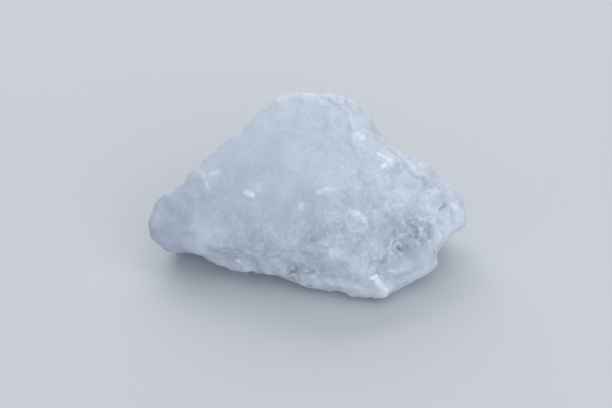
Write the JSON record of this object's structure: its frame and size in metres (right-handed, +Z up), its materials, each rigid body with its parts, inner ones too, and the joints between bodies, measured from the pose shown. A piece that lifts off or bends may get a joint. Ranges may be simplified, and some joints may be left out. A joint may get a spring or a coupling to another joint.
{
  "type": "alum crystal",
  "caption": "Broken lump of milky, translucent alum crystal with softened fracture faces, a blunt peak and a flat broken base that it lies on.",
  "frame": {"origin": "on the surface that the lump lies on, under the middle of its box", "axes": "+Z up, +X along the lump's length to the right, front (the pictured side) towards -Y"},
  "size_m": [0.0932, 0.0576, 0.0521],
  "materials": {
    "milky_alum": "satin"
  },
  "bodies": {
    "root": {"alum_crystal": "milky_alum"}
  },
  "joints": []
}
